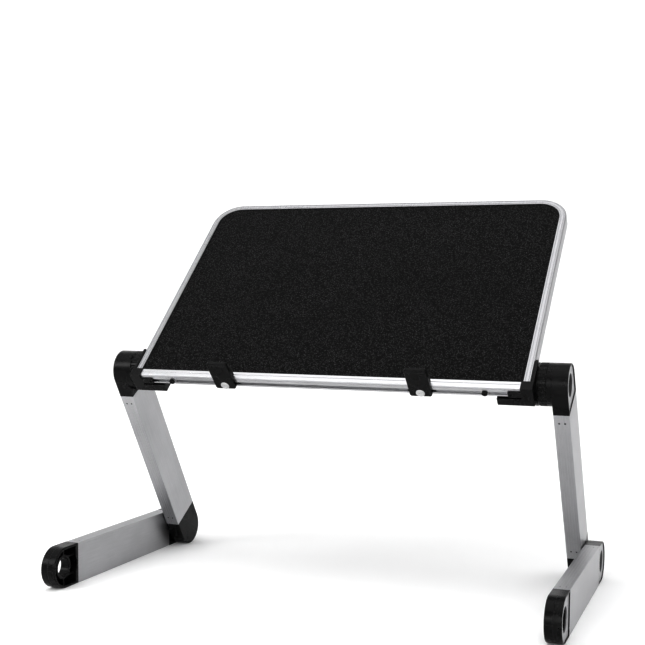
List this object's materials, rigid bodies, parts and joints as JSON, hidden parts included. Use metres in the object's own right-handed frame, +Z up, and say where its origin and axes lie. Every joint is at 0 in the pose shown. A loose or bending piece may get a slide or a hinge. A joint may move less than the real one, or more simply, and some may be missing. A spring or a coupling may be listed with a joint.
{
  "type": "laptop stand",
  "caption": "Folding laptop stand: a framed tray with a grained black panel and sliding stops, on jointed aluminium legs whose push-button joints lock in steps.",
  "frame": {"origin": "on the floor, under the middle of the stand's bounding box", "axes": "+X to the user's right along the hinge axes, +Y away from the user, +Z up"},
  "size_m": [0.4992, 0.2954, 0.388],
  "materials": {
    "rim_aluminium": "satin anodised",
    "arm_aluminium": "satin anodised, drawn along the length",
    "plate_aluminium": "satin",
    "grained_skin": "pebble-grained vinyl",
    "board": "fibreboard",
    "black_plastic": "fine moulded texture",
    "button_plastic": "semi-gloss",
    "lock_nylon": "moulded nylon",
    "stop_rubber": "soft matt",
    "bright_steel": "zinc plated",
    "black_steel": "black oxide"
  },
  "bodies": {
    "tray": {"perimeter_frame": "rim_aluminium", "front_rail": "rim_aluminium", "panel_core": "board", "top_skin": "grained_skin", "bottom_skin": "grained_skin", "left_corner_bracket": "black_plastic", "right_corner_bracket": "black_plastic", "bracket_screws": "black_steel", "end_stop_screws": "black_steel", "end_stop_nuts": "bright_steel", "hub_pivot_bolts": "bright_steel", "hub_washers": "bright_steel", "left_hub_spring": "bright_steel", "right_hub_spring": "bright_steel"},
    "left_upper_arm": {"left_upper_tube": "arm_aluminium", "left_hub_cap": "black_plastic", "left_upper_knee_cap": "black_plastic", "left_hub_face_plate": "plate_aluminium", "left_upper_arm_pins": "black_steel", "left_knee_pivot_bolt": "bright_steel", "left_knee_washer": "bright_steel", "left_knee_spring": "bright_steel"},
    "left_lower_arm": {"left_lower_tube": "arm_aluminium", "left_lower_knee_cap": "black_plastic", "left_foot_cap": "black_plastic", "left_knee_face_plate": "plate_aluminium", "left_foot_face_plate": "plate_aluminium", "left_lower_arm_pins": "black_steel"},
    "left_hub_button": {"left_hub_button": "button_plastic"},
    "left_hub_lock_gear": {"left_hub_lock_gear": "lock_nylon"},
    "left_knee_button": {"left_knee_button": "button_plastic"},
    "left_knee_lock_gear": {"left_knee_lock_gear": "lock_nylon"},
    "left_stop": {"left_stop_plate": "black_plastic", "left_stop_pad": "stop_rubber", "left_stop_screw": "bright_steel", "left_stop_slot_nut": "black_plastic"},
    "right_upper_arm": {"right_upper_tube": "arm_aluminium", "right_hub_cap": "black_plastic", "right_upper_knee_cap": "black_plastic", "right_hub_face_plate": "plate_aluminium", "right_upper_arm_pins": "black_steel", "right_knee_pivot_bolt": "bright_steel", "right_knee_washer": "bright_steel", "right_knee_spring": "bright_steel"},
    "right_lower_arm": {"right_lower_tube": "arm_aluminium", "right_lower_knee_cap": "black_plastic", "right_foot_cap": "black_plastic", "right_knee_face_plate": "plate_aluminium", "right_foot_face_plate": "plate_aluminium", "right_lower_arm_pins": "black_steel"},
    "right_hub_button": {"right_hub_button": "button_plastic"},
    "right_hub_lock_gear": {"right_hub_lock_gear": "lock_nylon"},
    "right_knee_button": {"right_knee_button": "button_plastic"},
    "right_knee_lock_gear": {"right_knee_lock_gear": "lock_nylon"},
    "right_stop": {"right_stop_plate": "black_plastic", "right_stop_pad": "stop_rubber", "right_stop_screw": "bright_steel", "right_stop_slot_nut": "black_plastic"}
  },
  "joints": [
    {"name": "left_hub_turn", "type": "hinge", "parent": "tray", "child": "left_upper_arm", "pos_m": [-0.2138, -0.02424, 0.20657], "axis": [1, 0, 0], "continuous": true},
    {"name": "left_knee_turn", "type": "hinge", "parent": "left_upper_arm", "child": "left_lower_arm", "pos_m": [-0.2346, 0.09234, 0.02], "axis": [1, 0, 0], "continuous": true},
    {"name": "left_hub_button_press", "type": "slide", "parent": "left_upper_arm", "child": "left_hub_button", "axis": [1, 0, 0], "range_m": [0, 0.003], "stiffness_N_per_m": 1500, "springref_m": -0.004},
    {"name": "left_hub_lock_slide", "type": "slide", "parent": "tray", "child": "left_hub_lock_gear", "axis": [1, 0, 0], "range_m": [0, 0.003], "deforming": ["left_hub_spring"]},
    {"name": "left_knee_button_press", "type": "slide", "parent": "left_lower_arm", "child": "left_knee_button", "axis": [1, 0, 0], "range_m": [0, 0.003], "stiffness_N_per_m": 1500, "springref_m": -0.004},
    {"name": "left_knee_lock_slide", "type": "slide", "parent": "left_upper_arm", "child": "left_knee_lock_gear", "axis": [1, 0, 0], "range_m": [0, 0.003], "deforming": ["left_knee_spring"]},
    {"name": "left_stop_slide", "type": "slide", "parent": "tray", "child": "left_stop", "axis": [1, 0, 0], "range_m": [-0.0435, 0.0865]},
    {"name": "right_hub_turn", "type": "hinge", "parent": "tray", "child": "right_upper_arm", "pos_m": [0.2138, -0.02424, 0.20657], "axis": [1, 0, 0], "continuous": true},
    {"name": "right_knee_turn", "type": "hinge", "parent": "right_upper_arm", "child": "right_lower_arm", "pos_m": [0.2346, 0.09234, 0.02], "axis": [1, 0, 0], "continuous": true},
    {"name": "right_hub_button_press", "type": "slide", "parent": "right_upper_arm", "child": "right_hub_button", "axis": [-1, 0, 0], "range_m": [0, 0.003], "stiffness_N_per_m": 1500, "springref_m": -0.004},
    {"name": "right_hub_lock_slide", "type": "slide", "parent": "tray", "child": "right_hub_lock_gear", "axis": [-1, 0, 0], "range_m": [0, 0.003], "deforming": ["right_hub_spring"]},
    {"name": "right_knee_button_press", "type": "slide", "parent": "right_lower_arm", "child": "right_knee_button", "axis": [-1, 0, 0], "range_m": [0, 0.003], "stiffness_N_per_m": 1500, "springref_m": -0.004},
    {"name": "right_knee_lock_slide", "type": "slide", "parent": "right_upper_arm", "child": "right_knee_lock_gear", "axis": [-1, 0, 0], "range_m": [0, 0.003], "deforming": ["right_knee_spring"]},
    {"name": "right_stop_slide", "type": "slide", "parent": "tray", "child": "right_stop", "axis": [1, 0, 0], "range_m": [-0.0865, 0.0435]}
  ],
  "couplings": [
    {"joint": "left_hub_lock_slide", "follows": "left_hub_button_press", "ratio": 1},
    {"joint": "left_knee_lock_slide", "follows": "left_knee_button_press", "ratio": 1},
    {"joint": "right_hub_lock_slide", "follows": "right_hub_button_press", "ratio": 1},
    {"joint": "right_knee_lock_slide", "follows": "right_knee_button_press", "ratio": 1}
  ]
}
